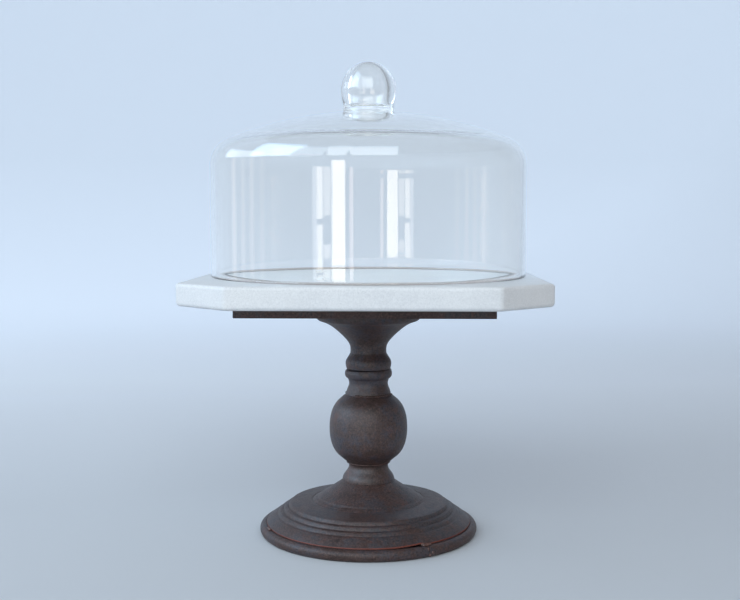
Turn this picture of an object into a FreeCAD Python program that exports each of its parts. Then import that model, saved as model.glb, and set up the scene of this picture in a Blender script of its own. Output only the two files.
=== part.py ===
import FreeCAD
import Part
import math
import os

# Covered cake stand: a glass dome with a hollow knob over a clipped-corner marble slab,
# on a turned iron pedestal held together by one tie rod.
# Millimetres, +Z up. The origin is on the pedestal axis in the plane that the base stands on.
# The front is -Y. Bearings round the axis are measured from the front towards +X.

# Base ring: round bar bent to a circle, with a narrow flat ground on its underside
ring_bar_diameter = 10.0
ring_outer_radius = 98.4
ring_ground_depth = 0.25
ring_joint_gap = 0.5
ring_joint_bearing = 33.5
ring_tack_bearings = (ring_joint_bearing, -68.0, 160.0)
tack_length = 9.0
tack_radius = 1.5

# Base bell: thin spun sheet with a crown, a shallow dish and three ridges
sheet_thickness = 1.3
bell_edge_radius = 92.3
bell_top = 47.0
bell_edge_height = 11.0
rod_hole_radius = 5.5

# Stem
wall = 3.0
foot_top = 63.9
foot_top_radius = 19.2
neck_bottom = 125.7
neck_top = 149.1
slit_height = 1.4
seat_gap = 0.05
collar_radius = 21.4
trumpet_top = 203.7
trumpet_flange_radius = 48.0
neck_bore_rise = 7.0
neck_weld_radius = 1.2
neck_weld_line_radius = 21.1
neck_weld_line_rise = 0.3
foot_weld_radius = 0.8
neck_weld_bearings = (25.0, 200.0)
neck_weld_span = 110.0

# Tie rod and its fasteners
rod_radius = 5.0
rod_bottom = 28.0
head_radius = 9.5
head_slot_width = 1.6
head_slot_depth = 1.8
sleeve_radius = 10.0
sleeve_wall = 2.0
sleeve_length = 30.0
crown_washer_radius = 21.0
crown_washer_thickness = 2.5
lock_washer_radius = 9.0
lock_washer_thickness = 2.5
lock_washer_split = 1.2
nut_across_flats = 17.0
nut_height = 8.0
thread_pitch = 1.5
fit_clearance = 0.1

# Plate, pads and marble
plate_side = 213.0
plate_thickness = 6.35
plate_corner_round = 1.5
pad_radius = 15.0
pad_thickness = 3.35
pad_offset = 80.0
marble_side = 305.0
marble_corner_leg = 45.7
marble_thickness = 19.0
marble_corner_round = 7.0
marble_edge_round = 3.0

# Glass dome
dome_radius = 140.0
dome_height = 145.6
dome_crown_radius = 332.0
dome_shoulder_radius = 24.5
dome_wall = 3.8
knob_foot_radius = 24.0
knob_neck_radius = 22.3
knob_radius = 24.5
knob_foot_height = 376.1
knob_neck_height = 381.6
knob_middle_height = 396.6
knob_top_height = 422.4
bubble_radius = 17.4
bubble_top_height = 419.2
bubble_bottom_height = 381.8
bubble_corner_round = 3.4
bubble_side_taper = 0.5

ring_bar_radius = ring_bar_diameter / 2
ring_line_radius = ring_outer_radius - ring_bar_radius
ring_line_height = ring_bar_radius - ring_ground_depth
plate_bottom = trumpet_top
plate_top = plate_bottom + plate_thickness
marble_bottom = plate_top + pad_thickness
marble_top_height = marble_bottom + marble_thickness
dome_top = marble_top_height + dome_height


def point(radius, height):
    """A point of an outline in the XZ plane."""
    return FreeCAD.Vector(radius, 0, height)


def line(start, end):
    return Part.makeLine(point(*start), point(*end))


def arc(start, middle, end):
    return Part.Arc(point(*start), point(*middle), point(*end)).toShape()


def curve(points, start_tangent=None, end_tangent=None):
    """A smooth curve through points, with optional end directions."""
    spline = Part.BSplineCurve()
    places = [point(*p) for p in points]
    if start_tangent and end_tangent:
        spline.interpolate(Points=places, InitialTangent=point(*start_tangent),
                           FinalTangent=point(*end_tangent))
    else:
        spline.interpolate(Points=places)
    return spline.toShape()


def turned(edges):
    """The solid that a closed outline sweeps round the Z axis."""
    outline = Part.Wire(Part.__sortEdges__(edges))
    return Part.Face(outline).revolve(point(0, 0), FreeCAD.Vector(0, 0, 1), 360)


def tube(outer_radius, inner_radius, bottom, top):
    outer = Part.makeCylinder(outer_radius, top - bottom, point(0, bottom))
    return outer.cut(Part.makeCylinder(inner_radius, top - bottom, point(0, bottom)))


def hollow_turned(outline):
    """A turned shell: outline points on the outside, the same outline a wall further in."""
    inside = [(radius - wall, height) for radius, height in outline]
    bottom = line(outline[0], inside[0])
    top = line(outline[-1], inside[-1])
    return turned([curve(outline), bottom, top, curve(inside)])


def at_bearing(shape, bearing):
    """Turns a shape made at the front (-Y) to its bearing."""
    shape.rotate(point(0, 0), FreeCAD.Vector(0, 0, 1), bearing)
    return shape


def arc_bead(bead_radius, line_radius, height, bearing, span):
    """A round weld bead on an arc round the axis, centred on its bearing."""
    section = Part.Wire(Part.makeCircle(bead_radius, point(line_radius, height), FreeCAD.Vector(0, 1, 0)))
    bead = Part.Face(section).revolve(point(0, 0), FreeCAD.Vector(0, 0, 1), span)
    bead.rotate(point(0, 0), FreeCAD.Vector(0, 0, 1), -90 + bearing - span / 2)
    return bead


def base_ring():
    ring = Part.makeTorus(ring_line_radius, ring_bar_radius, point(0, ring_line_height))
    below = Part.makeBox(4 * ring_outer_radius, 4 * ring_outer_radius, ring_bar_diameter)
    below.translate(FreeCAD.Vector(-2 * ring_outer_radius, -2 * ring_outer_radius, -ring_bar_diameter))
    joint = Part.makeBox(ring_joint_gap, 2 * ring_bar_diameter, 2 * ring_bar_diameter)
    joint.translate(FreeCAD.Vector(-ring_joint_gap / 2, -ring_line_radius - ring_bar_diameter,
                                   ring_line_height - ring_bar_diameter))
    return ring.cut(below).cut(at_bearing(joint, ring_joint_bearing))


def bell_outline(drop):
    """The top of the spun sheet from the rod hole to its edge, lowered by drop."""
    crown = [(23.5, bell_top), (34.5, 39.4), (45.6, 32.4)]
    crown_ridge = [(45.6, 32.4), (47.6, 30.6), (50.5, 29.7)]
    dish = [(50.5, 29.7), (60.0, 28.6), (68.2, 27.7)]
    first_ridge = [(68.2, 27.7), (70.9, 26.6), (72.3, 24.7)]
    second_ridge = [(72.3, 24.7), (75.5, 23.2), (77.2, 21.3)]
    third_ridge = [(77.2, 21.3), (80.2, 19.9), (82.2, 18.2)]
    skirt = [(82.2, 18.2), (87.7, 14.7), (bell_edge_radius, bell_edge_height)]
    edges = [line((rod_hole_radius, bell_top - drop), (crown[0][0], bell_top - drop))]
    for stretch in [crown, crown_ridge, dish, first_ridge, second_ridge, third_ridge, skirt]:
        edges.append(arc(*[(radius, height - drop) for radius, height in stretch]))
    return edges


def base_bell():
    def side(radius, height):
        return line((radius, height), (radius, height - sheet_thickness))

    edges = bell_outline(0) + bell_outline(sheet_thickness)
    return turned(edges + [side(rod_hole_radius, bell_top), side(bell_edge_radius, bell_edge_height)])


def ring_welds():
    """Tacks that lie on the ring against the bell's edge; the first one fills the ring's joint."""
    span = math.degrees(tack_length / bell_edge_radius)
    beads = []
    for bearing in ring_tack_bearings:
        bead = arc_bead(tack_radius, bell_edge_radius + tack_radius, bell_edge_height, bearing, span)
        beads.append(bead.cut(base_ring()).cut(base_bell()))
    return Part.makeCompound([solid for bead in beads for solid in bead.Solids])


def stem_foot():
    outline = [(23.7, bell_top), (23.5, 49.0), (22.4, 52.0), (19.7, 55.7), (17.9, 61.2),
               (foot_top_radius, foot_top)]
    return hollow_turned(outline)


def stem_ball():
    outline = [(foot_top_radius, foot_top), (23.7, 67.9), (28.6, 72.3), (33.0, 79.8), (35.2, 90.6),
               (34.6, 104.6), (30.7, 115.9), (20.8, neck_bottom)]
    return hollow_turned(outline)


def foot_weld():
    """Thin bead in the corner between the foot and the ball."""
    bead = arc_bead(foot_weld_radius, foot_top_radius, foot_top, 0, 360)
    return bead.cut(stem_ball()).cut(stem_foot())


def stem_neck():
    """Neck and lower collar; the top is cut on a slight slope, which leaves the slit open at the left."""
    waist = [(20.6, neck_bottom), (19.4, 129.9), (17.6, 136.1), (18.7, 140.0)]
    collar = [(18.7, 140.0), (20.6, 141.7), (collar_radius, 144.5), (20.9, 147.6), (20.2, neck_top)]
    bore = sleeve_radius + fit_clearance
    bore_bottom = neck_bottom + neck_bore_rise
    inside = (waist[0][0] - wall, neck_bottom)
    edges = [curve(waist), curve(collar), line(collar[-1], (bore, neck_top)),
             line((bore, neck_top), (bore, bore_bottom)), line((bore, bore_bottom), inside),
             line(inside, waist[0])]
    slope = math.degrees(math.asin(slit_height / (2 * collar_radius)))
    above = Part.makeBox(3 * collar_radius, 3 * collar_radius, collar_radius)
    above.translate(FreeCAD.Vector(-3 * collar_radius, -1.5 * collar_radius, 0))
    above.rotate(point(0, 0), FreeCAD.Vector(0, 1, 0), -slope)
    above.translate(FreeCAD.Vector(collar_radius, 0, neck_top))
    return turned(edges).cut(above)


def neck_welds():
    """Two long beads in the corner between the ball and the neck."""
    beads = []
    for bearing in neck_weld_bearings:
        bead = arc_bead(neck_weld_radius, neck_weld_line_radius, neck_bottom + neck_weld_line_rise,
                        bearing, neck_weld_span)
        beads.append(bead.cut(stem_ball()).cut(stem_neck()))
    return Part.makeCompound([solid for bead in beads for solid in bead.Solids])


def stem_trumpet():
    """Upper collar and flare in one piece, opened out inside up to the plate."""
    bottom = neck_top + seat_gap
    collar = [(19.9, bottom), (20.6, 152.0), (20.5, 156.0), (18.3, 160.0), (16.4, 163.3)]
    flare = [(16.4, 163.3), (16.8, 170.1), (20.9, 176.3), (28.3, 183.5), (35.9, 189.1), (41.9, 191.9)]
    lip_height = 197.1
    lip = arc(flare[-1], (46.3, 194.0), (trumpet_flange_radius, lip_height))
    bore = sleeve_radius + fit_clearance
    mouth_radius = trumpet_flange_radius - 2 * wall
    inside = [(bore, 171.1), (15.0, 179.1), (24.0, 186.7), (34.0, 193.5), (mouth_radius, trumpet_top)]
    edges = [curve(collar), curve(flare), lip,
             line((trumpet_flange_radius, lip_height), (trumpet_flange_radius, trumpet_top)),
             line((trumpet_flange_radius, trumpet_top), inside[-1]),
             curve(inside), line(inside[0], (bore, bottom)), line((bore, bottom), collar[0])]
    return turned(edges)


def centring_sleeve():
    middle = neck_top
    return tube(sleeve_radius, sleeve_radius - sleeve_wall, middle - sleeve_length / 2,
                middle + sleeve_length / 2)


def tie_rod():
    """Long countersunk bolt, slotted, its head flush with the top of the plate."""
    cone_height = head_radius - rod_radius
    head = Part.makeCone(rod_radius, head_radius, cone_height, point(0, plate_top - cone_height))
    shank = Part.makeCylinder(rod_radius, plate_top - rod_bottom, point(0, rod_bottom))
    tip = Part.makeCone(rod_radius - thread_pitch / 2, rod_radius, thread_pitch / 2, point(0, rod_bottom))
    blank = Part.makeCylinder(rod_radius, thread_pitch / 2, point(0, rod_bottom))
    slot = Part.makeBox(3 * head_radius, head_slot_width, head_slot_depth)
    slot.translate(FreeCAD.Vector(-1.5 * head_radius, -head_slot_width / 2, plate_top - head_slot_depth))
    return shank.cut(blank.cut(tip)).fuse(head).cut(slot).removeSplitter()


def crown_washer():
    top = bell_top - sheet_thickness
    return tube(crown_washer_radius, rod_hole_radius, top - crown_washer_thickness, top)


def lock_washer():
    """Split spring washer."""
    top = bell_top - sheet_thickness - crown_washer_thickness
    washer = tube(lock_washer_radius, rod_radius + fit_clearance, top - lock_washer_thickness, top)
    split = Part.makeBox(2 * lock_washer_radius, lock_washer_split, 2 * lock_washer_thickness)
    split.translate(FreeCAD.Vector(0, -lock_washer_split / 2, top - 1.5 * lock_washer_thickness))
    return washer.cut(split)


def tie_nut():
    top = bell_top - sheet_thickness - crown_washer_thickness - lock_washer_thickness
    corner_radius = nut_across_flats / math.sqrt(3)
    corners = [FreeCAD.Vector(corner_radius * math.cos(math.radians(60 * k)),
                              corner_radius * math.sin(math.radians(60 * k)), top - nut_height)
               for k in range(7)]
    nut = Part.Face(Part.makePolygon(corners)).extrude(FreeCAD.Vector(0, 0, nut_height))
    corner_cut = corner_radius - nut_across_flats / 2
    turned_blank = Part.makeCone(nut_across_flats / 2, corner_radius + corner_cut, 2 * corner_cut,
                                 point(0, top - nut_height))
    body = Part.makeCylinder(corner_radius + 1, nut_height, point(0, top - nut_height + 2 * corner_cut))
    bore = Part.makeCylinder(rod_radius + fit_clearance, 2 * nut_height, point(0, top - 1.5 * nut_height))
    return nut.common(turned_blank.fuse(body)).cut(bore)


def support_plate():
    """Square plate with a countersunk hole in the middle for the rod's head."""
    plate = Part.makeBox(plate_side, plate_side, plate_thickness)
    plate.translate(FreeCAD.Vector(-plate_side / 2, -plate_side / 2, plate_bottom))
    upright = [edge for edge in plate.Edges if abs(edge.BoundBox.ZLength - plate_thickness) < 1e-6]
    plate = plate.makeFillet(plate_corner_round, upright)
    hole = Part.makeCylinder(rod_radius + fit_clearance, 2 * plate_thickness, point(0, plate_bottom - 1))
    cone_height = head_radius - rod_radius
    sink = Part.makeCone(rod_radius + fit_clearance, head_radius + fit_clearance, cone_height,
                         point(0, plate_top - cone_height))
    return plate.cut(hole).cut(sink)


def marble_pads():
    pads = []
    for side_x in (-1, 1):
        for side_y in (-1, 1):
            centre = FreeCAD.Vector(side_x * pad_offset, side_y * pad_offset, plate_top)
            pads.append(Part.makeCylinder(pad_radius, pad_thickness, centre))
    return Part.makeCompound(pads)


def marble_slab():
    """Square slab with clipped corners, eight softened uprights and rounded edges."""
    half = marble_side / 2
    cut = half - marble_corner_leg
    corners = [(half, -cut), (half, cut), (cut, half), (-cut, half),
               (-half, cut), (-half, -cut), (-cut, -half), (cut, -half), (half, -cut)]
    outline = Part.makePolygon([FreeCAD.Vector(x, y, marble_bottom) for x, y in corners])
    slab = Part.Face(outline).extrude(FreeCAD.Vector(0, 0, marble_thickness))
    upright = [edge for edge in slab.Edges if abs(edge.BoundBox.ZLength - marble_thickness) < 1e-6]
    slab = slab.makeFillet(marble_corner_round, upright)
    flat = [edge for edge in slab.Edges if edge.BoundBox.ZLength < 1e-6]
    return slab.makeFillet(marble_edge_round, flat)


def dome_outline(inset):
    """Crown arc and shoulder arc from the axis to the straight wall, moved in by inset."""
    crown_centre = dome_top - dome_crown_radius
    shoulder_line = dome_radius - dome_shoulder_radius
    centre_distance = dome_crown_radius - dome_shoulder_radius
    lean = math.acos(shoulder_line / centre_distance)
    shoulder_centre = crown_centre + centre_distance * math.sin(lean)

    def on_crown(angle):
        radius = dome_crown_radius - inset
        return radius * math.cos(angle), crown_centre + radius * math.sin(angle)

    def on_shoulder(angle):
        radius = dome_shoulder_radius - inset
        return shoulder_line + radius * math.cos(angle), shoulder_centre + radius * math.sin(angle)

    crown = arc((0, dome_top - inset), on_crown((math.pi / 2 + lean) / 2), on_crown(lean))
    shoulder = arc(on_crown(lean), on_shoulder(lean / 2), on_shoulder(0))
    return [crown, shoulder], on_shoulder(0)


def dome_shell():
    """Blown glass with an even wall and a rounded rim."""
    rim = marble_top_height + dome_wall / 2
    outside, outside_end = dome_outline(0)
    inside, inside_end = dome_outline(dome_wall)
    middle = dome_radius - dome_wall / 2
    outer_rim = (dome_radius, rim)
    inner_rim = (dome_radius - dome_wall, rim)
    edges = outside + inside + [line(outside_end, outer_rim), line(inside_end, inner_rim)]
    edges.append(arc(outer_rim, (middle, marble_top_height), inner_rim))
    edges.append(line((0, dome_top - dome_wall), (0, dome_top)))
    return turned(edges)


def quarter_ellipse(radius, top_height):
    """The upper quarter of an ellipse round the knob's middle, from its widest point to the axis."""
    rise = top_height - knob_middle_height
    places = [(radius * math.cos(t), knob_middle_height + rise * math.sin(t))
              for t in (math.radians(15 * k) for k in range(7))]
    return curve(places, (0, 1), (-1, 0))


def knob_bubble():
    """The air space in the knob: domed top, nearly straight sides and a flat floor."""
    floor_radius = bubble_radius - bubble_side_taper - bubble_corner_round
    corner_top = bubble_bottom_height + bubble_corner_round
    lean = bubble_corner_round * math.sqrt(0.5)
    side_foot = (floor_radius + bubble_corner_round, corner_top)
    corner_middle = (floor_radius + lean, corner_top - lean)
    floor_end = (floor_radius, bubble_bottom_height)
    return turned([quarter_ellipse(bubble_radius, bubble_top_height),
                   line((bubble_radius, knob_middle_height), side_foot),
                   arc(side_foot, corner_middle, floor_end),
                   line(floor_end, (0, bubble_bottom_height)),
                   line((0, bubble_bottom_height), (0, bubble_top_height))])


def dome_knob():
    """Hollow blown knob whose foot follows the dome's crown."""
    foot = (knob_foot_radius, knob_foot_height)
    neck = (knob_neck_radius, knob_neck_height)
    widest = (knob_radius, knob_middle_height)
    above_foot = (knob_neck_radius + 0.3, knob_neck_height - 2.5)
    below_widest = (knob_radius - 0.9, knob_middle_height - 7.5)
    lower = curve([foot, above_foot, neck, below_widest, widest])
    upper = quarter_ellipse(knob_radius, knob_top_height)
    blank = turned([lower, upper, line((0, knob_top_height), (0, knob_foot_height)),
                    line((0, knob_foot_height), foot)])
    outline, wall_top = dome_outline(0)
    axis_foot = (0, marble_top_height)
    under_crown = turned(outline + [line(wall_top, axis_foot), line(axis_foot, (0, dome_top))])
    return blank.cut(under_crown).cut(knob_bubble())


parts = {
    "base_ring": base_ring,
    "ring_welds": ring_welds,
    "base_bell": base_bell,
    "stem_foot": stem_foot,
    "foot_weld": foot_weld,
    "stem_ball": stem_ball,
    "neck_welds": neck_welds,
    "stem_neck": stem_neck,
    "stem_trumpet": stem_trumpet,
    "centring_sleeve": centring_sleeve,
    "tie_rod": tie_rod,
    "crown_washer": crown_washer,
    "lock_washer": lock_washer,
    "tie_nut": tie_nut,
    "support_plate": support_plate,
    "marble_pads": marble_pads,
    "marble_top": marble_slab,
    "dome_shell": dome_shell,
    "dome_knob": dome_knob,
}

os.makedirs("parts", exist_ok=True)
for name, make in parts.items():
    shape = make()
    print(name, "valid", shape.isValid(), "solids", len(shape.Solids), "volume", round(shape.Volume))
    shape.exportStep("parts/" + name + ".step")
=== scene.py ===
import math

import bmesh
import bpy
from mathutils import Matrix, Vector, noise


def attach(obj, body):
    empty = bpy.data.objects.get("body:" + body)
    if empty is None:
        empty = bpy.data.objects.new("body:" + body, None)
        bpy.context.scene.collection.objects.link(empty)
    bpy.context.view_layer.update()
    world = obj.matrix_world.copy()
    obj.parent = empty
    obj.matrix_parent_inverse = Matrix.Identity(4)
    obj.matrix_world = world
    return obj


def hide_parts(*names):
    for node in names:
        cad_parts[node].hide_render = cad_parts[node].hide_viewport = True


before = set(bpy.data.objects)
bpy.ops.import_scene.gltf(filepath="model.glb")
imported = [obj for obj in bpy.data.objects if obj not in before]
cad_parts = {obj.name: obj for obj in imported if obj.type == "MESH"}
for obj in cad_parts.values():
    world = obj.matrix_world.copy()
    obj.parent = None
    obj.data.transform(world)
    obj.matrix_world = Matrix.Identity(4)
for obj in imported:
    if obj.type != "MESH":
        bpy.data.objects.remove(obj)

# Covered cake stand. Lengths in the shape code are millimetres and become metres when a mesh is made.
# Same frame as the CAD: +Z up, origin on the pedestal axis on the floor, front -Y.
# Bearings round the axis are degrees from the front towards +X.

MM = 0.001
scene = bpy.context.scene
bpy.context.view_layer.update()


# ---------------------------------------------------------------- outlines

def line(a, b, steps=1):
    return [(a[0] + (b[0] - a[0]) * k / steps, a[1] + (b[1] - a[1]) * k / steps) for k in range(steps + 1)]


def arc(a, m, b, steps=8):
    """Points on the circle arc from a through m to b."""
    ax, ay, mx, my, bx, by = *a, *m, *b
    d = 2 * (ax * (my - by) + mx * (by - ay) + bx * (ay - my))
    ux = ((ax**2 + ay**2) * (my - by) + (mx**2 + my**2) * (by - ay) + (bx**2 + by**2) * (ay - my)) / d
    uy = ((ax**2 + ay**2) * (bx - mx) + (mx**2 + my**2) * (ax - bx) + (bx**2 + by**2) * (mx - ax)) / d
    radius = math.hypot(ax - ux, ay - uy)
    t0 = math.atan2(ay - uy, ax - ux)
    tm = (math.atan2(my - uy, mx - ux) - t0) % math.tau
    t1 = (math.atan2(by - uy, bx - ux) - t0) % math.tau
    if tm > t1:
        t1 -= math.tau
    return [(ux + radius * math.cos(t0 + t1 * k / steps), uy + radius * math.sin(t0 + t1 * k / steps))
            for k in range(steps + 1)]


def smooth(points, steps=8):
    """A natural cubic spline through the points, by chord length."""
    t = [0.0]
    for a, b in zip(points, points[1:]):
        t.append(t[-1] + math.dist(a, b))
    n = len(points)
    bends = []
    for axis in (0, 1):
        y = [p[axis] for p in points]
        c, d = [0.0] * n, [0.0] * n
        for i in range(1, n - 1):
            h0, h1 = t[i] - t[i - 1], t[i + 1] - t[i]
            low = h0 / 6
            mid = (h0 + h1) / 3
            high = h1 / 6
            right = (y[i + 1] - y[i]) / h1 - (y[i] - y[i - 1]) / h0
            scale = mid - low * c[i - 1]
            c[i] = high / scale
            d[i] = (right - low * d[i - 1]) / scale
        m = [0.0] * n
        for i in range(n - 2, 0, -1):
            m[i] = d[i] - c[i] * m[i + 1]
        bends.append(m)
    out = []
    for i in range(n - 1):
        h = t[i + 1] - t[i]
        for k in range(steps):
            v = k / steps
            u = 1 - v
            p = []
            for axis in (0, 1):
                m = bends[axis]
                p.append(u * points[i][axis] + v * points[i + 1][axis]
                         + ((u**3 - u) * m[i] + (v**3 - v) * m[i + 1]) * h * h / 6)
            out.append(tuple(p))
    out.append(points[-1])
    return out


def chain(*stretches):
    """Joins stretches end to end, leaving out repeated points."""
    out = []
    for stretch in stretches:
        for p in stretch:
            if not out or math.dist(out[-1], p) > 1e-4:
                out.append(p)
    if len(out) > 2 and math.dist(out[0], out[-1]) < 1e-4:
        out.pop()
    return out


def soften(outline, corners, radius, steps=4):
    """Rounds the named corner points of a closed outline."""
    out = []
    n = len(outline)
    for i, p in enumerate(outline):
        if not any(math.dist(p, c) < 1e-3 for c in corners):
            out.append(p)
            continue
        a, b = Vector(outline[i - 1]), Vector(outline[(i + 1) % n])
        q = Vector(p)
        ra = min(radius, (a - q).length * 0.45)
        rb = min(radius, (b - q).length * 0.45)
        start, end = q + (a - q).normalized() * ra, q + (b - q).normalized() * rb
        for k in range(steps + 1):
            v = k / steps
            s = start * (1 - v) ** 2 + q * 2 * v * (1 - v) + end * v * v
            out.append((s.x, s.y))
    return out


# ---------------------------------------------------------------- meshes

def grain(x, y, z, size, seed=0.0):
    """Smooth noise from about -1 to 1 that changes over size millimetres."""
    return noise.noise(Vector((x / size + seed, y / size - seed, z / size + 0.5 * seed)))


def make_mesh(name, verts, faces, sharp=40.0):
    mesh = bpy.data.meshes.new(name)
    mesh.from_pydata([Vector(v) * MM for v in verts], [], faces)
    mesh.validate()
    bm = bmesh.new()
    bm.from_mesh(mesh)
    bmesh.ops.remove_doubles(bm, verts=bm.verts, dist=1e-7)
    bmesh.ops.recalc_face_normals(bm, faces=bm.faces)
    bm.to_mesh(mesh)
    bm.free()
    mesh.shade_smooth()
    mesh.set_sharp_from_angle(angle=math.radians(sharp))
    piece = bpy.data.objects.new(name, mesh)
    scene.collection.objects.link(piece)
    return piece


def revolve(outline, segments, move=None):
    """Vertices and faces of a closed outline turned round Z. Points on the axis become one vertex."""
    verts, rings, faces = [], [], []
    for r, z in outline:
        if r < 1e-6:
            rings.append([len(verts)] * segments)
            verts.append((0, 0, z))
            continue
        rings.append(list(range(len(verts), len(verts) + segments)))
        for k in range(segments):
            b = math.tau * k / segments
            rr, zz = move(r, z, b) if move else (r, z)
            verts.append((rr * math.sin(b), -rr * math.cos(b), zz))
    for a, c in zip(rings, rings[1:] + rings[:1]):
        for k in range(segments):
            j = (k + 1) % segments
            corners = []
            for v in (a[k], a[j], c[j], c[k]):
                if v not in corners:
                    corners.append(v)
            if len(corners) > 2:
                faces.append(corners)
    return verts, faces


def turned(name, outline, segments=192, move=None, sharp=40.0):
    return make_mesh(name, *revolve(outline, segments, move), sharp)


def place(piece, body, slot, material, *nodes):
    piece.data.materials.append(material)
    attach(piece, body)
    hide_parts(*nodes)
    return piece


# ---------------------------------------------------------------- materials

class Nodes:
    """A material whose nodes are added by short calls."""

    def __init__(self, name):
        self.mat = bpy.data.materials.new(name)
        self.mat.use_nodes = True
        self.tree = self.mat.node_tree
        self.shader = self.tree.nodes["Principled BSDF"]
        self.out = self.tree.nodes["Material Output"]
        self.coords = self.add("TexCoord").outputs["Object"]

    def add(self, kind, **values):
        node = self.tree.nodes.new("ShaderNode" + kind)
        for key, value in values.items():
            setattr(node, key, value)
        return node

    def link(self, source, target):
        self.tree.links.new(source, target)

    def set(self, **values):
        for key, value in values.items():
            self.shader.inputs[key.replace("_", " ")].default_value = value

    def noise(self, scale, detail=3.0, rough=0.55, coords=None, distort=0.0):
        node = self.add("TexNoise")
        self.link(coords or self.coords, node.inputs["Vector"])
        node.inputs["Scale"].default_value = scale
        node.inputs["Detail"].default_value = detail
        node.inputs["Roughness"].default_value = rough
        node.inputs["Distortion"].default_value = distort
        return node.outputs["Fac"]

    def stretched(self, x, y, z):
        node = self.add("Mapping")
        self.link(self.coords, node.inputs["Vector"])
        node.inputs["Scale"].default_value = (x, y, z)
        return node.outputs["Vector"]

    def ramp(self, source, *stops):
        node = self.add("ValToRGB")
        self.link(source, node.inputs["Fac"])
        band = node.color_ramp
        while len(band.elements) < len(stops):
            band.elements.new(0.5)
        for element, (place_at, colour) in zip(band.elements, stops):
            element.position = place_at
            element.color = (*colour, 1) if isinstance(colour, tuple) else (colour, colour, colour, 1)
        return node.outputs["Color"]

    def spread(self, source, low, high, to_low=0.0, to_high=1.0):
        node = self.add("MapRange")
        self.link(source, node.inputs["Value"])
        for key, value in (("From Min", low), ("From Max", high), ("To Min", to_low), ("To Max", to_high)):
            node.inputs[key].default_value = value
        return node.outputs["Result"]

    def mix(self, factor, a, b, blend="MIX"):
        node = self.add("Mix", data_type="RGBA", blend_type=blend)
        for source, socket in ((factor, node.inputs[0]), (a, node.inputs[6]), (b, node.inputs[7])):
            if isinstance(source, (int, float)):
                socket.default_value = source
            elif isinstance(source, tuple):
                socket.default_value = (*source, 1)
            else:
                self.link(source, socket)
        return node.outputs[2]

    def maths(self, operation, a, b=0.0):
        node = self.add("Math", operation=operation)
        for source, socket in ((a, node.inputs[0]), (b, node.inputs[1])):
            if isinstance(source, (int, float)):
                socket.default_value = source
            else:
                self.link(source, socket)
        return node.outputs[0]

    def radius_and_height(self):
        """Distance from the pedestal axis and height, in metres."""
        split = self.add("SeparateXYZ")
        self.link(self.coords, split.inputs[0])
        flat = self.add("CombineXYZ")
        self.link(split.outputs[0], flat.inputs[0])
        self.link(split.outputs[1], flat.inputs[1])
        length = self.add("VectorMath", operation="LENGTH")
        self.link(flat.outputs[0], length.inputs[0])
        return length.outputs["Value"], split.outputs[2]

    def bump(self, *layers):
        """Stacks bump layers of (height, distance in metres)."""
        normal = None
        for height, distance in layers:
            node = self.add("Bump")
            node.inputs["Strength"].default_value = 1.0
            node.inputs["Distance"].default_value = distance
            self.link(height, node.inputs["Height"])
            if normal is not None:
                self.link(normal, node.inputs["Normal"])
            normal = node.outputs["Normal"]
        self.link(normal, self.shader.inputs["Normal"])


def patina(name, brown, blue, red, copper_edge=False, roughness=(0.40, 0.60), specular=0.36):
    """Dark chemical patina on iron: cloudy brown and blue-grey, granular, with worn red-brown spots."""
    m = Nodes(name)
    clouds = m.noise(24, 4, 0.62)
    mottle = m.noise(170, 5, 0.72)
    grains = m.noise(620, 3, 0.7)
    fine = m.noise(1100, 2, 0.6)
    worn = m.noise(52, 6, 0.74, distort=0.5)
    tone = m.maths("ADD", m.maths("MULTIPLY", clouds, 0.58), m.maths("MULTIPLY", mottle, 0.42))
    base = m.ramp(tone, (0.38, tuple(0.55 * c for c in brown)), (0.47, brown), (0.57, blue))
    base = m.mix(m.spread(worn, 0.56, 0.70, 0.0, 0.85), base, red)
    base = m.mix(m.spread(grains, 0.52, 0.68, 0.0, 0.7), base, tuple(2.0 * c for c in brown))
    base = m.mix(m.spread(grains, 0.46, 0.34, 0.0, 0.8), base, tuple(0.3 * c for c in brown))
    if copper_edge:
        r, z = m.radius_and_height()
        edge = m.spread(r, 0.0920, 0.0922)
        top = m.spread(z, 0.0098, 0.0103)
        share = m.maths("MULTIPLY", m.maths("MULTIPLY", edge, top), m.spread(m.noise(70, 3), 0.25, 0.5, 0.3, 1.0))
        base = m.mix(share, base, (0.17, 0.043, 0.028))
    m.link(base, m.shader.inputs["Base Color"])
    m.link(m.spread(m.maths("ADD", mottle, m.maths("MULTIPLY", fine, 0.4)), 0.45, 0.95, *roughness),
           m.shader.inputs["Roughness"])
    m.bump((mottle, 0.00030), (grains, 0.00022), (fine, 0.00010))
    m.set(Metallic=0.0, Specular_IOR_Level=specular)
    return m.mat


iron = patina("iron_patina", (0.066, 0.037, 0.031), (0.055, 0.050, 0.063), (0.135, 0.052, 0.036),
              roughness=(0.42, 0.58), specular=0.56)
ring_iron = patina("ring_patina", (0.068, 0.038, 0.032), (0.056, 0.050, 0.060), (0.135, 0.052, 0.036))
bell_iron = patina("bell_patina", (0.062, 0.034, 0.029), (0.049, 0.043, 0.049), (0.130, 0.046, 0.030), True,
                   specular=0.42)
plate_iron = patina("plate_patina", (0.082, 0.044, 0.038), (0.070, 0.056, 0.058), (0.120, 0.050, 0.035))
seam_iron = patina("seam_patina", (0.080, 0.042, 0.034), (0.060, 0.048, 0.048), (0.150, 0.060, 0.042))
weld_iron = patina("weld_patina", (0.140, 0.070, 0.054), (0.095, 0.072, 0.068), (0.25, 0.105, 0.072))


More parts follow.
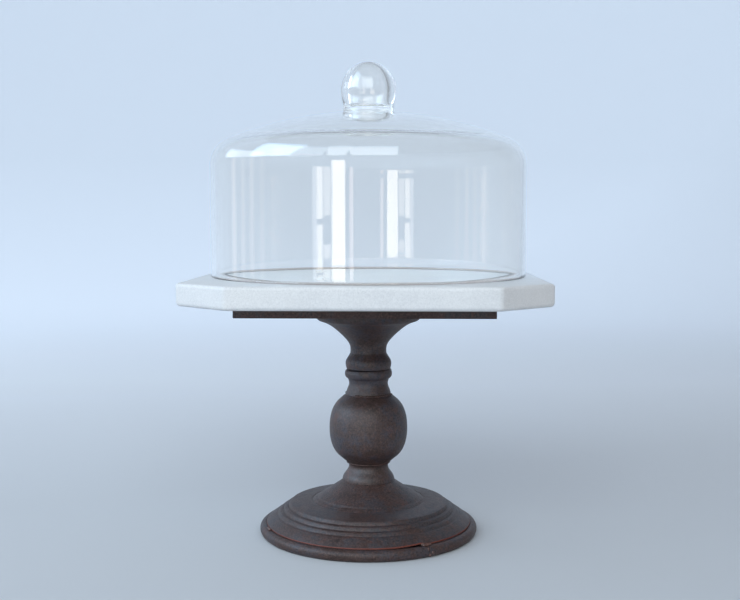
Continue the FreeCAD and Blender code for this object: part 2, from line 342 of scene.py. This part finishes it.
def marble_material():
    m = Nodes("white_marble")
    clouds = m.noise(34, 4, 0.6, distort=0.3)
    crystals = m.noise(620, 3, 0.75)
    speckle = m.noise(1250, 2, 0.7)
    vein = m.noise(11, 5, 0.6, distort=0.5)
    base = m.ramp(clouds, (0.36, (0.775, 0.765, 0.765)), (0.64, (0.825, 0.812, 0.805)))
    base = m.mix(m.spread(crystals, 0.42, 0.66, 0.0, 0.65), base, (0.91, 0.90, 0.895))
    base = m.mix(m.spread(speckle, 0.50, 0.72, 0.0, 0.6), base, (0.64, 0.635, 0.635))
    line_share = m.spread(m.maths("ABSOLUTE", m.maths("SUBTRACT", vein, 0.5)), 0.0, 0.03, 0.12, 0.0)
    base = m.mix(line_share, base, (0.68, 0.67, 0.665))
    m.link(base, m.shader.inputs["Base Color"])
    m.link(m.spread(crystals, 0.3, 0.7, 0.30, 0.50), m.shader.inputs["Roughness"])
    m.bump((crystals, 0.00009), (speckle, 0.00006))
    m.set(Specular_IOR_Level=0.5)
    return m.mat


def glass_material():
    """Blown glass: faint tint, slight ripples, a few smudges and a painted shade band at the foot of the rim.
    Lamps shine through it.
    """
    m = Nodes("clear_glass")
    ripple = m.noise(28, 2, 0.4, coords=m.stretched(1.0, 1.0, 0.25))
    smudge = m.noise(34, 5, 0.65, distort=0.8)
    m.link(m.spread(smudge, 0.55, 0.8, 0.0, 0.035), m.shader.inputs["Roughness"])
    m.bump((ripple, 0.00010),)
    height = m.radius_and_height()[1]
    # Painted shade: the base colour turns brownish grey over the lowest part of the rim, below 233.8 mm, where
    # the glass stands on the marble.
    m.link(m.mix(m.spread(height, 0.2338, 0.2350), (0.66, 0.56, 0.50), (0.998, 0.988, 0.966)),
           m.shader.inputs["Base Color"])
    m.set(IOR=1.47, Transmission_Weight=1.0)
    clear = m.add("BsdfTransparent")
    clear.inputs["Color"].default_value = (0.84, 0.86, 0.88, 1)
    path = m.add("LightPath")
    both = m.add("MixShader")
    m.link(path.outputs["Is Shadow Ray"], both.inputs[0])
    m.link(m.shader.outputs[0], both.inputs[1])
    m.link(clear.outputs[0], both.inputs[2])
    m.link(both.outputs[0], m.out.inputs["Surface"])
    return m.mat


def steel_material():
    m = Nodes("zinc_steel")
    streaks = m.noise(300, 4, 0.6, coords=m.stretched(1.0, 1.0, 0.15))
    m.link(m.ramp(streaks, (0.3, (0.42, 0.43, 0.44)), (0.7, (0.62, 0.63, 0.63))), m.shader.inputs["Base Color"])
    m.link(m.spread(streaks, 0.3, 0.7, 0.28, 0.45), m.shader.inputs["Roughness"])
    m.bump((streaks, 0.00003),)
    m.set(Metallic=1.0)
    return m.mat


def pad_material():
    m = Nodes("bonding_pad")
    pores = m.noise(900, 3, 0.6)
    m.link(m.ramp(pores, (0.3, (0.026, 0.026, 0.028)), (0.7, (0.05, 0.05, 0.052))), m.shader.inputs["Base Color"])
    m.bump((pores, 0.0001),)
    m.set(Roughness=0.8)
    return m.mat


marble = marble_material()
glass = glass_material()
steel = steel_material()
pad = pad_material()


# ---------------------------------------------------------------- pedestal

def uneven(size, depth, seed):
    """Hand-finished unevenness: a small inward move that changes over size millimetres."""
    def move(r, z, b):
        x, y = r * math.sin(b), -r * math.cos(b)
        return r - depth * (0.5 + 0.5 * grain(x, y, z, size, seed)), z
    return move


WALL = 3.0


def hollow(name, outline, seed, segments=192):
    outside = smooth(outline, 10)
    inside = [(r - WALL, z) for r, z in smooth(outline, 3)]
    ends = [outline[0], outline[-1]]
    loop = soften(chain(outside, inside[::-1]), ends, 0.4)
    return turned(name, loop, segments, uneven(11.0, 0.22, seed))


foot = hollow("stem_foot_turned", [(23.7, 47.0), (23.5, 49.0), (22.4, 52.0), (19.7, 55.7), (17.9, 61.2),
                                   (19.2, 63.9)], 1.0)
place(foot, "stand", "iron", iron, "stem_foot")

ball = hollow("stem_ball_turned", [(19.2, 63.9), (23.7, 67.9), (28.6, 72.3), (33.0, 79.8), (35.2, 90.6),
                                   (34.6, 104.6), (30.7, 115.9), (20.8, 125.7)], 2.0, 224)
place(ball, "stand", "iron", iron, "stem_ball")

COLLAR_RADIUS, NECK_TOP, SLIT = 21.4, 149.1, 1.4


def neck_move(r, z, b):
    """The collar's top leans down to the left, which opens the slit there."""
    r, z = uneven(9.0, 0.16, 3.0)(r, z, b)
    share = max(0.0, (z - 143.0) / (NECK_TOP - 143.0))
    return r, z - share * share * (COLLAR_RADIUS - r * math.sin(b)) * SLIT / (2 * COLLAR_RADIUS)


waist = smooth([(20.6, 125.7), (19.4, 129.9), (17.6, 136.1), (18.7, 140.0)], 8)
collar = smooth([(18.7, 140.0), (20.6, 141.7), (COLLAR_RADIUS, 144.5), (20.9, 147.6), (20.2, NECK_TOP)], 8)
BORE = 10.1
neck_loop = soften(chain(waist, collar, [(BORE, NECK_TOP), (BORE, 132.7), (17.6, 125.7)]),
                   [(20.2, NECK_TOP)], 0.5)
place(turned("stem_neck_turned", neck_loop, 192, neck_move), "stand", "iron", iron, "stem_neck")

upper_collar = smooth([(19.9, 149.15), (20.6, 152.0), (20.5, 156.0), (18.3, 160.0), (16.4, 163.3)], 8)
flare = smooth([(16.4, 163.3), (16.8, 170.1), (20.9, 176.3), (28.3, 183.5), (35.9, 189.1), (41.9, 191.9)], 9)
lip = arc((41.9, 191.9), (46.3, 194.0), (48.0, 197.1), 8)
mouth = smooth([(42.0, 203.7), (34.0, 193.5), (24.0, 186.7), (15.0, 179.1), (BORE, 171.1)], 3)
trumpet_loop = soften(chain(upper_collar, flare, lip, [(48.0, 203.7)], mouth, [(BORE, 149.15)]),
                      [(19.9, 149.15), (48.0, 203.7)], 0.5)
place(turned("stem_trumpet_turned", trumpet_loop, 224, uneven(12.0, 0.2, 4.0)), "stand", "iron", iron,
      "stem_trumpet")

# Spun bell: sheet with a crown, a shallow dish, three ridges and a cut edge
SHEET, BELL_EDGE, BELL_EDGE_HEIGHT = 1.3, 92.3, 11.0
BELL_STRETCHES = [[(23.5, 47.0), (34.5, 39.4), (45.6, 32.4)], [(45.6, 32.4), (47.6, 30.6), (50.5, 29.7)],
                  [(50.5, 29.7), (60.0, 28.6), (68.2, 27.7)], [(68.2, 27.7), (70.9, 26.6), (72.3, 24.7)],
                  [(72.3, 24.7), (75.5, 23.2), (77.2, 21.3)], [(77.2, 21.3), (80.2, 19.9), (82.2, 18.2)],
                  [(82.2, 18.2), (87.7, 14.7), (BELL_EDGE, BELL_EDGE_HEIGHT)]]
RIDGES, GROOVES = (47.9, 70.7, 75.4, 80.1), (45.6, 50.6, 72.5, 77.4, 82.6)
bell_top = [(5.5, 47.0), (12.0, 47.0)]
for stretch in BELL_STRETCHES:
    bell_top += arc(*stretch, max(9, int(math.dist(stretch[0], stretch[2]) / 0.55)))
bell_top = chain(bell_top)
bell_under = [(r, z - SHEET) for r, z in bell_top]
bell_loop = soften(chain(bell_top, bell_under[::-1]),
                   [(BELL_EDGE, BELL_EDGE_HEIGHT), (BELL_EDGE, BELL_EDGE_HEIGHT - SHEET)], 0.35)


RING_LINE, RING_HEIGHT, BAR, JOINT, GAP = 93.4, 4.75, 5.0, 33.5, 0.5


def bearing_hump(b, centre, width):
    """1 at a bearing in degrees, falling smoothly to 0 over width either side."""
    away = abs((math.degrees(b) - centre + 180) % 360 - 180)
    return 0.5 + 0.5 * math.cos(math.pi * away / width) if away < width else 0.0


def bell_move(r, z, b):
    """Spinning marks and a slightly wavy skirt that stands off the ring near its joint."""
    x, y = r * math.sin(b), -r * math.cos(b)
    rise = 0.12 * grain(x, y, z, 24.0, 5.0) + 0.05 * math.sin(r * 5.2 + 0.8 * grain(x, y, 0, 60.0, 6.0))
    rise += sum(0.38 * math.exp(-((r - at) / 0.75) ** 2) for at in RIDGES)
    rise -= sum(0.45 * math.exp(-((r - at) / 0.65) ** 2) for at in GROOVES)
    skirt = max(0.0, (r - 82.0) / (BELL_EDGE - 82.0))
    bearing = (math.degrees(b) + 180) % 360 - 180
    opening = max(0.0, min((bearing - 14.0) / 18.0, (JOINT - 0.5 - bearing) / 2.0, 1.0))
    rise += skirt * (1.7 * opening ** 1.3 - 0.2 * bearing_hump(b, -30.0, 60.0))
    rise *= min(1.0, max(0.0, (r - 24.0) / 6.0))
    return r, z + rise


place(turned("base_bell_spun", bell_loop, 288, bell_move), "stand", "iron", bell_iron, "base_bell")

# Round-bar ring, butted at the right front; one end stands a little proud

def ring_bar():
    around, sides = 320, 28
    gap = GAP / RING_LINE
    verts, faces = [], []
    for i in range(around + 1):
        b = math.radians(JOINT) + gap / 2 + (math.tau - gap) * i / around
        from_start = (b - math.radians(JOINT)) * RING_LINE
        from_end = (math.tau - (b - math.radians(JOINT))) * RING_LINE
        proud = 0.55 * math.exp(-from_start / 14.0)
        worn = min(1.0, min(from_start, from_end) / 0.5)
        for k in range(sides):
            a = math.tau * k / sides
            x0, y0 = RING_LINE * math.sin(b), -RING_LINE * math.cos(b)
            bar = BAR * (0.90 + 0.10 * worn ** 0.5) - 0.12 * (0.5 + 0.5 * grain(x0, y0, 9 * a, 14.0, 8.0))
            r = RING_LINE + proud + bar * math.cos(a)
            z = max(0.0, RING_HEIGHT + 0.3 * proud + bar * math.sin(a))
            verts.append((r * math.sin(b), -r * math.cos(b), z))
    for i in range(around):
        for k in range(sides):
            j = (k + 1) % sides
            faces.append((i * sides + k, i * sides + j, (i + 1) * sides + j, (i + 1) * sides + k))
    faces.append(tuple(range(sides)))
    faces.append(tuple(around * sides + k for k in range(sides)))
    return make_mesh("base_ring_bar", verts, faces, 50.0)


place(ring_bar(), "stand", "iron", ring_iron, "base_ring")


def bead(name, radius, height, bearing, span, thick, lump, seed, squash=1.0):
    """Vertices and faces of a lumpy weld bead along an arc, rounded at both ends."""
    length = math.radians(span) * radius
    around, sides = max(24, int(length / 0.7)), 16
    verts, faces = [], []
    whole = span >= 360
    for i in range(around + (0 if whole else 1)):
        s = i / around
        b = math.radians(bearing - span / 2 + span * s)
        end = min(s, 1 - s) * length
        taper = 1.0 if whole else math.sqrt(max(0.0, 1 - (1 - min(1.0, end / (1.6 * thick))) ** 2))
        wave = grain(20 * math.cos(b), 20 * math.sin(b), height, 2.2, seed)
        wave += 0.6 * math.sin(s * length * 1.9 + 2.5 * grain(s * length, 0, 0, 9.0, seed))
        t = max(0.06, thick * taper * (1 + lump * wave))
        for k in range(sides):
            a = math.tau * k / sides
            r, z = radius + t * math.cos(a), height + squash * t * math.sin(a)
            verts.append((r * math.sin(b), -r * math.cos(b), z))
    rings = len(verts) // sides
    for i in range(rings if whole else rings - 1):
        n = (i + 1) % rings
        for k in range(sides):
            j = (k + 1) % sides
            faces.append((i * sides + k, i * sides + j, n * sides + j, n * sides + k))
    if not whole:
        faces.append(tuple(range(sides)))
        faces.append(tuple((rings - 1) * sides + k for k in range(sides)))
    return verts, faces


def beads(name, *made):
    verts, faces = [], []
    for v, f in made:
        faces += [tuple(i + len(verts) for i in face) for face in f]
        verts += v
    return make_mesh(name, verts, faces, 60.0)


def blob(centre, size, seed):
    """A small lump of weld metal."""
    bm = bmesh.new()
    bmesh.ops.create_icosphere(bm, subdivisions=4, radius=1.0)
    verts = []
    for v in bm.verts:
        d = 1 + 0.28 * noise.noise(v.co * 1.7 + Vector((seed, 0, 0)))
        verts.append((centre[0] + v.co.x * size[0] * d, centre[1] + v.co.y * size[1] * d,
                      centre[2] + v.co.z * size[2] * d))
    faces = [tuple(v.index for v in face.verts) for face in bm.faces]
    bm.free()
    return verts, faces


def on_ring(bearing, radius, height):
    b = math.radians(bearing)
    return radius * math.sin(b), -radius * math.cos(b), height


tacks = [bead("", BELL_EDGE + 1.2, 10.4, bearing, 5.6, 1.25, 0.18, seed, 0.8)
         for bearing, seed in ((JOINT, 1.0), (-68.0, 2.0), (160.0, 3.0))]
joint_fill = [blob(on_ring(JOINT + 1.7, 97.4, 4.6), (2.0, 2.0, 1.8), 4.0),
              blob(on_ring(JOINT + 0.3, 97.2, 2.8), (1.1, 1.5, 1.9), 7.0),
              blob(on_ring(JOINT - 0.3, 96.6, 6.8), (0.9, 1.3, 2.0), 8.0),
              blob(on_ring(JOINT - 2.2, 92.6, 11.0), (1.8, 1.4, 1.1), 9.0)]
place(beads("ring_weld_beads", *tacks, *joint_fill), "stand", "weld", weld_iron, "ring_welds")
place(beads("neck_weld_beads",
            *[bead("", 21.0, 126.1, bearing, 118.0, 1.15, 0.22, seed, 0.85)
              for bearing, seed in ((25.0, 5.0), (200.0, 6.0))]),
      "stand", "weld", seam_iron, "neck_welds")
place(beads("foot_weld_bead", bead("", 19.3, 63.9, 0.0, 360.0, 0.62, 0.12, 9.0)), "stand", "weld", seam_iron,
      "foot_weld")


# ---------------------------------------------------------------- plate and marble

def rounded_polygon(corners, radius, inset, along, per_corner):
    """Points of a polygon with rounded corners, moved in by inset, with outward directions."""
    out = []
    n = len(corners)
    for i in range(n):
        a, q, b = Vector(corners[i - 1]), Vector(corners[i]), Vector(corners[(i + 1) % n])
        u, v = (q - a).normalized(), (b - q).normalized()
        na, nb = Vector((u.y, -u.x)), Vector((v.y, -v.x))
        half = na.angle(nb) / 2
        centre = q - (na + nb).normalized() * radius / math.cos(half)
        start, turn = math.atan2(na.y, na.x), 2 * half
        for k in range(per_corner + 1):
            t = start + turn * k / per_corner
            d = Vector((math.cos(t), math.sin(t)))
            out.append((centre + d * (radius - inset), d))
        c = Vector(corners[(i + 2) % n])
        w = (c - b).normalized()
        nw = Vector((w.y, -w.x))
        next_centre = b - (nb + nw).normalized() * radius / math.cos(nb.angle(nw) / 2)
        p0, p1 = centre + nb * (radius - inset), next_centre + nb * (radius - inset)
        for k in range(1, along):
            out.append((p0.lerp(p1, k / along), nb.copy()))
    return out


def slab(name, corners, radius, profile, along, per_corner, move, hole=None, fill_rings=18):
    """A flat body: rounded outline swept over a profile of (inset, z); faces closed to a centre or a hole."""
    verts, rings, faces = [], [], []

    def add(points):
        rings.append(list(range(len(verts), len(verts) + len(points))))
        verts.extend(points)

    top_z, bottom_z = profile[-1][1], profile[0][1]
    outer = [rounded_polygon(corners, radius, inset, along, per_corner) for inset, _ in profile]
    n = len(outer[0])

    def inner(points, z, share, hole_radius):
        made = []
        for p, _ in points:
            b = math.atan2(p.y, p.x)
            h = Vector((math.cos(b), math.sin(b))) * hole_radius
            q = h.lerp(p, share)
            made.append((q.x, q.y, z))
        return made

    low_hole, high_hole = (hole[0][0], hole[-1][0]) if hole else (0.0, 0.0)
    first = 0 if hole else 1
    for k in range(first, fill_rings):
        add(inner(outer[0], bottom_z, k / fill_rings, low_hole))
    for (inset, z), points in zip(profile, outer):
        add([move(p, d, z, inset) for p, d in points])
    for k in range(fill_rings - 1, first - 1, -1):
        add(inner(outer[-1], top_z, k / fill_rings, high_hole))
    if hole:
        for r, z in hole[-2:0:-1]:
            add(inner(outer[0], z, 0.0, r))
    pairs = list(zip(rings, rings[1:]))
    if hole:
        pairs.append((rings[-1], rings[0]))
    for a, b in pairs:
        for k in range(n):
            j = (k + 1) % n
            faces.append((a[k], a[j], b[j], b[k]))
    if not hole:
        for ring, z in ((rings[0], bottom_z), (rings[-1], top_z)):
            c = len(verts)
            verts.append((0, 0, z))
            for k in range(n):
                faces.append((ring[k], ring[(k + 1) % n], c))
    return make_mesh(name, verts, faces, 40.0)


def edge_profile(bottom, top, low_round, high_round, steps):
    """(inset, z) from the bottom face over both rounded edges to the top face."""
    out = []
    for k in range(steps + 1):
        t = math.pi / 2 * k / steps
        out.append((low_round * (1 - math.sin(t)), bottom + low_round * (1 - math.cos(t))))
    middle = 6
    for k in range(1, middle):
        out.append((0.0, bottom + low_round + (top - bottom - low_round - high_round) * k / middle))
    for k in range(steps + 1):
        t = math.pi / 2 * k / steps
        out.append((high_round * (1 - math.cos(t)), top - high_round * (1 - math.sin(t))))
    return out


MARBLE_BOTTOM, MARBLE_TOP, HALF, LEG = 213.4, 232.4, 152.5, 45.7
cut = HALF - LEG
marble_corners = [(HALF, -cut), (HALF, cut), (cut, HALF), (-cut, HALF),
                  (-HALF, cut), (-HALF, -cut), (-cut, -HALF), (cut, -HALF)]


def marble_move(p, d, z, inset):
    """Hand-honed edges: slightly wavy, never outside the true outline."""
    deep = 0.10 + 0.10 * grain(p.x, p.y, z, 30.0, 11.0) + 0.05 * grain(p.x, p.y, z, 7.0, 12.0)
    deep = max(0.0, deep)
    q = p - d * deep
    return q.x, q.y, z


marble_slab = slab("marble_slab", marble_corners, 7.0, edge_profile(MARBLE_BOTTOM, MARBLE_TOP, 3.4, 3.0, 9),
                   28, 10, marble_move)
place(marble_slab, "stand", "marble", marble, "marble_top")

PLATE_BOTTOM, PLATE_TOP, PLATE_HALF = 203.7, 210.05, 106.5
plate_corners = [(PLATE_HALF, -PLATE_HALF), (PLATE_HALF, PLATE_HALF), (-PLATE_HALF, PLATE_HALF),
                 (-PLATE_HALF, -PLATE_HALF)]


def plate_move(p, d, z, inset):
    deep = 0.08 + 0.08 * grain(p.x, p.y, 2 * z, 16.0, 13.0)
    q = p - d * deep
    return q.x, q.y, z


plate = slab("support_plate_rolled", plate_corners, 1.5, edge_profile(PLATE_BOTTOM, PLATE_TOP, 0.5, 0.5, 4),
             40, 6, plate_move, hole=[(5.1, PLATE_BOTTOM), (5.1, PLATE_TOP - 4.5), (9.6, PLATE_TOP)])
place(plate, "stand", "plate_iron", plate_iron, "support_plate")


# ---------------------------------------------------------------- glass

DOME_R, DOME_TOP, CROWN_R, SHOULDER_R, GLASS_WALL = 140.0, 378.0, 332.0, 24.5, 3.8


def dome_outline(inset, crown_steps, shoulder_steps):
    """Crown and shoulder arcs from the axis to the wall, moved in by inset."""
    crown_centre = DOME_TOP - CROWN_R
    line_r = DOME_R - SHOULDER_R
    lean = math.acos(line_r / (CROWN_R - SHOULDER_R))
    shoulder_z = crown_centre + (CROWN_R - SHOULDER_R) * math.sin(lean)
    out = []
    for k in range(crown_steps + 1):
        t = math.pi / 2 + (lean - math.pi / 2) * k / crown_steps
        out.append(((CROWN_R - inset) * math.cos(t), crown_centre + (CROWN_R - inset) * math.sin(t)))
    out[0] = (0.0, out[0][1])
    for k in range(1, shoulder_steps + 1):
        t = lean * (1 - k / shoulder_steps)
        out.append((line_r + (SHOULDER_R - inset) * math.cos(t), shoulder_z + (SHOULDER_R - inset) * math.sin(t)))
    return out


def dome_loop():
    outside, inside = dome_outline(0, 40, 24), dome_outline(GLASS_WALL, 30, 20)
    rim_z = MARBLE_TOP + GLASS_WALL / 2
    outer_wall = line(outside[-1], (DOME_R, rim_z), 26)
    rim = arc((DOME_R, rim_z), (DOME_R - GLASS_WALL / 2, MARBLE_TOP), (DOME_R - GLASS_WALL, rim_z), 16)
    inner_wall = line((DOME_R - GLASS_WALL, rim_z), inside[-1], 26)
    return chain(outside, outer_wall, rim, inner_wall, inside[::-1])


def dome_move(r, z, b):
    """Blown glass: the wall's thickness and roundness wander a little."""
    x, y = r * math.sin(b), -r * math.cos(b)
    share = min(1.0, r / 60.0)
    seed = 21.0 if r > DOME_R - 2.1 else 22.0
    swing = 0.07 * grain(x, y, 0.35 * z, 55.0, seed) + 0.02 * grain(x, y, 0.2 * z, 18.0, seed + 2)
    return r + share * (swing - 0.05), z


dome = turned("dome_shell_blown", dome_loop(), 320, dome_move, 180.0)
place(dome, "dome", "glass", glass, "dome_shell")


KNOB_MIDDLE, BUBBLE_R, BUBBLE_TOP, BUBBLE_FLOOR = 396.6, 17.4, 419.2, 381.8
BUBBLE_CORNER, BUBBLE_TAPER = 3.4, 0.5


def knob_move(r, z, b):
    """The bubble is a little out of round."""
    x, y = r * math.sin(b), -r * math.cos(b)
    return r + min(1.0, r / 8.0) * 0.12 * grain(x, y, z, 15.0, 31.0), z


def knob():
    """Outer skin with a foot that follows the crown, and the bubble inside it."""
    gap = 0.06
    lower = smooth([(24.0, 376.1), (22.6, 379.1), (22.3, 381.6), (23.6, 389.1), (24.5, 396.6)], 10)
    upper = [(24.5 * math.cos(t), 396.6 + 25.8 * math.sin(t)) for t in
             (math.pi / 2 * k / 36 for k in range(1, 37))]
    upper[-1] = (0.0, 422.4)
    crown = []
    for k in range(15):
        r = 24.0 * k / 14
        crown.append((r, DOME_TOP - CROWN_R + math.sqrt((CROWN_R + gap) ** 2 - r * r)))
    foot_edge = crown[-1]
    lower[0] = (foot_edge[0], foot_edge[1] + 0.25)
    outer_loop = soften(chain(crown, lower, upper), [foot_edge], 0.5)
    verts, faces = revolve(outer_loop, 192)
    dome_of_bubble = [(BUBBLE_R * math.cos(t), KNOB_MIDDLE + (BUBBLE_TOP - KNOB_MIDDLE) * math.sin(t))
                      for t in (math.pi / 2 * k / 36 for k in range(36))] + [(0.0, BUBBLE_TOP)]
    corner_r, corner_z = BUBBLE_R - BUBBLE_TAPER - BUBBLE_CORNER, BUBBLE_FLOOR + BUBBLE_CORNER
    floor_corner = [(corner_r + BUBBLE_CORNER * math.sin(t), corner_z - BUBBLE_CORNER * math.cos(t))
                    for t in (math.pi / 2 * k / 12 for k in range(13))]
    bubble = chain(line((0.0, BUBBLE_FLOOR), floor_corner[0], 8), floor_corner,
                   line(floor_corner[-1], dome_of_bubble[0], 6), dome_of_bubble)
    v2, f2 = revolve(bubble[::-1], 160, knob_move)
    piece = make_mesh("dome_knob_blown", verts, faces, 180.0)
    inner = make_mesh("knob_bubble", v2, f2, 180.0)
    bm = bmesh.new()
    bm.from_mesh(piece.data)
    first = len(bm.faces)
    bm.from_mesh(inner.data)
    bm.faces.ensure_lookup_table()
    bmesh.ops.reverse_faces(bm, faces=bm.faces[first:])
    bm.to_mesh(piece.data)
    bm.free()
    bpy.data.objects.remove(inner)
    return piece


place(knob(), "dome", "glass", glass, "dome_knob")


# ---------------------------------------------------------------- carried-over CAD nodes

for node in ("tie_rod", "tie_nut", "crown_washer", "lock_washer", "centring_sleeve"):
    for slot_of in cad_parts[node].material_slots:
        slot_of.material = steel
for slot_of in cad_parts["marble_pads"].material_slots:
    slot_of.material = pad


# ---------------------------------------------------------------- stage, light and camera

def backdrop():
    """A pale floor that curves up into a round wall, with painted shade towards the front and the right and a
    painted glow behind the object.
    """
    floor_r, curve_r, wall_top = 2.0, 1.6, 4.2
    outline = [(0.0, 0.0), (0.2, 0.0), (0.5, 0.0), (1.0, 0.0), (1.5, 0.0), (floor_r, 0.0)]
    for k in range(1, 25):
        t = math.pi / 2 * k / 24
        outline.append((floor_r + curve_r * math.sin(t), curve_r * (1 - math.cos(t))))
    outline.append((floor_r + curve_r, wall_top))
    verts, faces = [], []
    segments = 96
    for r, z in outline:
        for k in range(segments):
            b = math.tau * k / segments
            verts.append((r * math.sin(b), -r * math.cos(b), z))
    for i in range(len(outline) - 1):
        for k in range(segments):
            j = (k + 1) % segments
            faces.append((i * segments + k, i * segments + j, (i + 1) * segments + j, (i + 1) * segments + k))
    mesh = bpy.data.meshes.new("backdrop")
    mesh.from_pydata(verts, [], faces)
    bm = bmesh.new()
    bm.from_mesh(mesh)
    bmesh.ops.remove_doubles(bm, verts=bm.verts, dist=1e-6)
    bmesh.ops.recalc_face_normals(bm, faces=bm.faces)
    bm.to_mesh(mesh)
    bm.free()
    mesh.shade_smooth()
    piece = bpy.data.objects.new("backdrop", mesh)
    scene.collection.objects.link(piece)
    m = Nodes("backdrop_paper_painted_shade_and_glow")
    split = m.add("SeparateXYZ")
    m.link(m.coords, split.inputs[0])
    x, y, z = split.outputs
    # Painted shade: the wall is darker and warmer towards the front and the right, where the room is dim.
    behind = m.maths("SUBTRACT", m.maths("MULTIPLY", y, 0.9), m.maths("MULTIPLY", x, 0.38))
    wall = m.mix(m.spread(behind, -1.6, 2.2), (0.42, 0.38, 0.35), (0.74, 0.755, 0.77))
    # Painted shade: the floor is darker towards the camera, and darkens again from 0.7 m in front of the axis to
    # nearly black beyond the camera.
    floor = m.mix(m.spread(y, -0.5, 0.9), (0.61, 0.63, 0.66), (0.86, 0.88, 0.91))
    floor = m.mix(m.spread(y, -0.7, -1.9), floor, (0.16, 0.14, 0.13))
    up = m.spread(z, 0.0, 0.5)
    m.link(m.mix(up, floor, wall), m.shader.inputs["Base Color"])
    # Painted glow: the floor and wall behind the object emit pale blue light, stronger further behind and to the
    # left; this glow also lights the scene.
    m.link(m.spread(behind, 0.2, 2.3, 0.0, 0.385), m.shader.inputs["Emission Strength"])
    m.set(Roughness=0.9, Specular_IOR_Level=0.1, Emission_Color=(0.62, 0.78, 1.0, 1))
    mesh.materials.append(m.mat)


backdrop()


def panel(name, azimuth, width, low, high, colour, radiance, distance=2.3, centre=0.33):
    """A soft rectangular light. Azimuth, width and the low and high elevations are degrees seen from the dome."""
    mid = math.radians((low + high) / 2)
    reach = distance / math.cos(mid)
    size_x = 2 * distance * math.tan(math.radians(width) / 2)
    size_y = 2 * reach * math.tan(math.radians(high - low) / 2)
    a = math.radians(azimuth)
    towards = Vector((math.sin(a) * math.cos(mid), -math.cos(a) * math.cos(mid), math.sin(mid)))
    light = bpy.data.lights.new(name, "AREA")
    light.shape = "RECTANGLE"
    light.size, light.size_y = size_x, size_y
    light.color = colour
    light.energy = radiance * math.pi * size_x * size_y
    lamp = bpy.data.objects.new(name, light)
    lamp.location = Vector((0, 0, centre)) + towards * reach
    lamp.rotation_mode = "QUATERNION"
    lamp.rotation_quaternion = towards.to_track_quat("Z", "Y")
    lamp.visible_camera = False
    scene.collection.objects.link(lamp)
    return lamp


SKY, DAYLIGHT = (0.74, 0.88, 1.0), (0.82, 0.93, 1.0)
panel("window_left_far", -98.0, 46.0, 10.0, 24.0, SKY, 2.3)
panel("window_left", -51.0, 45.0, 10.0, 40.0, SKY, 2.45)
panel("window_front_left", -20.0, 15.0, 10.0, 42.0, DAYLIGHT, 3.8)
panel("window_front", 5.8, 34.4, 10.0, 42.0, DAYLIGHT, 3.8)
panel("transom_left", -46.0, 20.0, 6.2, 7.6, SKY, 2.0)

# Bright sky and pale curtains at the left, for gloss only
gleam = [panel("bright_sky", -72.0, 40.0, 12.0, 46.0, (0.50, 0.74, 1.0), 6.0)]
for fold, (bearing, radiance) in enumerate(((-106.0, 0.8), (-95.0, 0.5), (-86.0, 0.7), (-76.0, 0.45))):
    gleam.append(panel(f"curtain_{fold}", bearing, 4.0, -9.0, 8.0, (1.0, 0.86, 0.76), radiance))
for lamp in gleam:
    lamp.visible_diffuse = False

# Light from the room at the right, too even to show in the glass
room = panel("room_right", 62.0, 44.0, -4.0, 40.0, (1.0, 0.86, 0.74), 0.36)
room.visible_glossy = room.visible_transmission = False

# Blue light from low at the left, which reaches the stem under the slab
low = panel("low_left", -46.0, 50.0, -14.0, 9.0, (0.50, 0.72, 1.0), 0.55)
low.visible_glossy = low.visible_transmission = False

# A sunlit window seen only in the glass: columns of (azimuth from, to, radiance, colour, cells of (low, high))
WARM, PINK, PALE = (1.0, 0.93, 0.84), (1.0, 0.80, 0.73), (0.92, 0.94, 0.98)
WINDOW = [(-36.0, -33.6, 2.2, PALE, [(-7.4, 2.3)]),
          (-33.2, -29.0, 4.4, WARM, [(-7.4, -5.2), (-4.9, -1.6), (-1.2, 2.3)]),
          (-28.4, -23.6, 2.6, WARM, [(-7.4, -4.6), (-3.9, -3.0), (-1.0, 2.3)]),
          (-22.8, -13.9, 6.0, WARM, [(-8.6, -4.6), (-4.5, 3.4)]),
          (-10.8, -8.2, 2.4, PINK, [(-7.4, 2.3)])]
for column, (west, east, radiance, colour, cells) in enumerate(WINDOW):
    for row, (low, high) in enumerate(cells):
        pane = panel(f"sunlit_pane_{column}_{row}", (west + east) / 2, east - west, low, high, colour, radiance)
        pane.visible_diffuse = False

world = bpy.data.worlds.new("studio")
world.use_nodes = True
world.node_tree.nodes["Background"].inputs["Color"].default_value = (0.85, 0.9, 1.0, 1)
world.node_tree.nodes["Background"].inputs["Strength"].default_value = 0.3
scene.world = world

camera_data = bpy.data.cameras.new("camera")
camera_data.sensor_width = 36.0
camera_data.lens = 53.12
camera = bpy.data.objects.new("camera", camera_data)
scene.collection.objects.link(camera)
scene.camera = camera
AZIMUTH, DISTANCE, HEIGHT, PITCH, SIDE = 0.030, 0.9797, 0.2851, 0.0757, 0.00143
camera.location = (math.sin(AZIMUTH) * DISTANCE + math.cos(AZIMUTH) * SIDE,
                   -math.cos(AZIMUTH) * DISTANCE + math.sin(AZIMUTH) * SIDE, HEIGHT)
camera.rotation_euler = (math.pi / 2 - PITCH, 0.0, AZIMUTH)
camera_data.clip_start = 0.01

scene.view_settings.view_transform = "Standard"
scene.cycles.max_bounces = 96
scene.cycles.transmission_bounces = 96
scene.cycles.glossy_bounces = 96
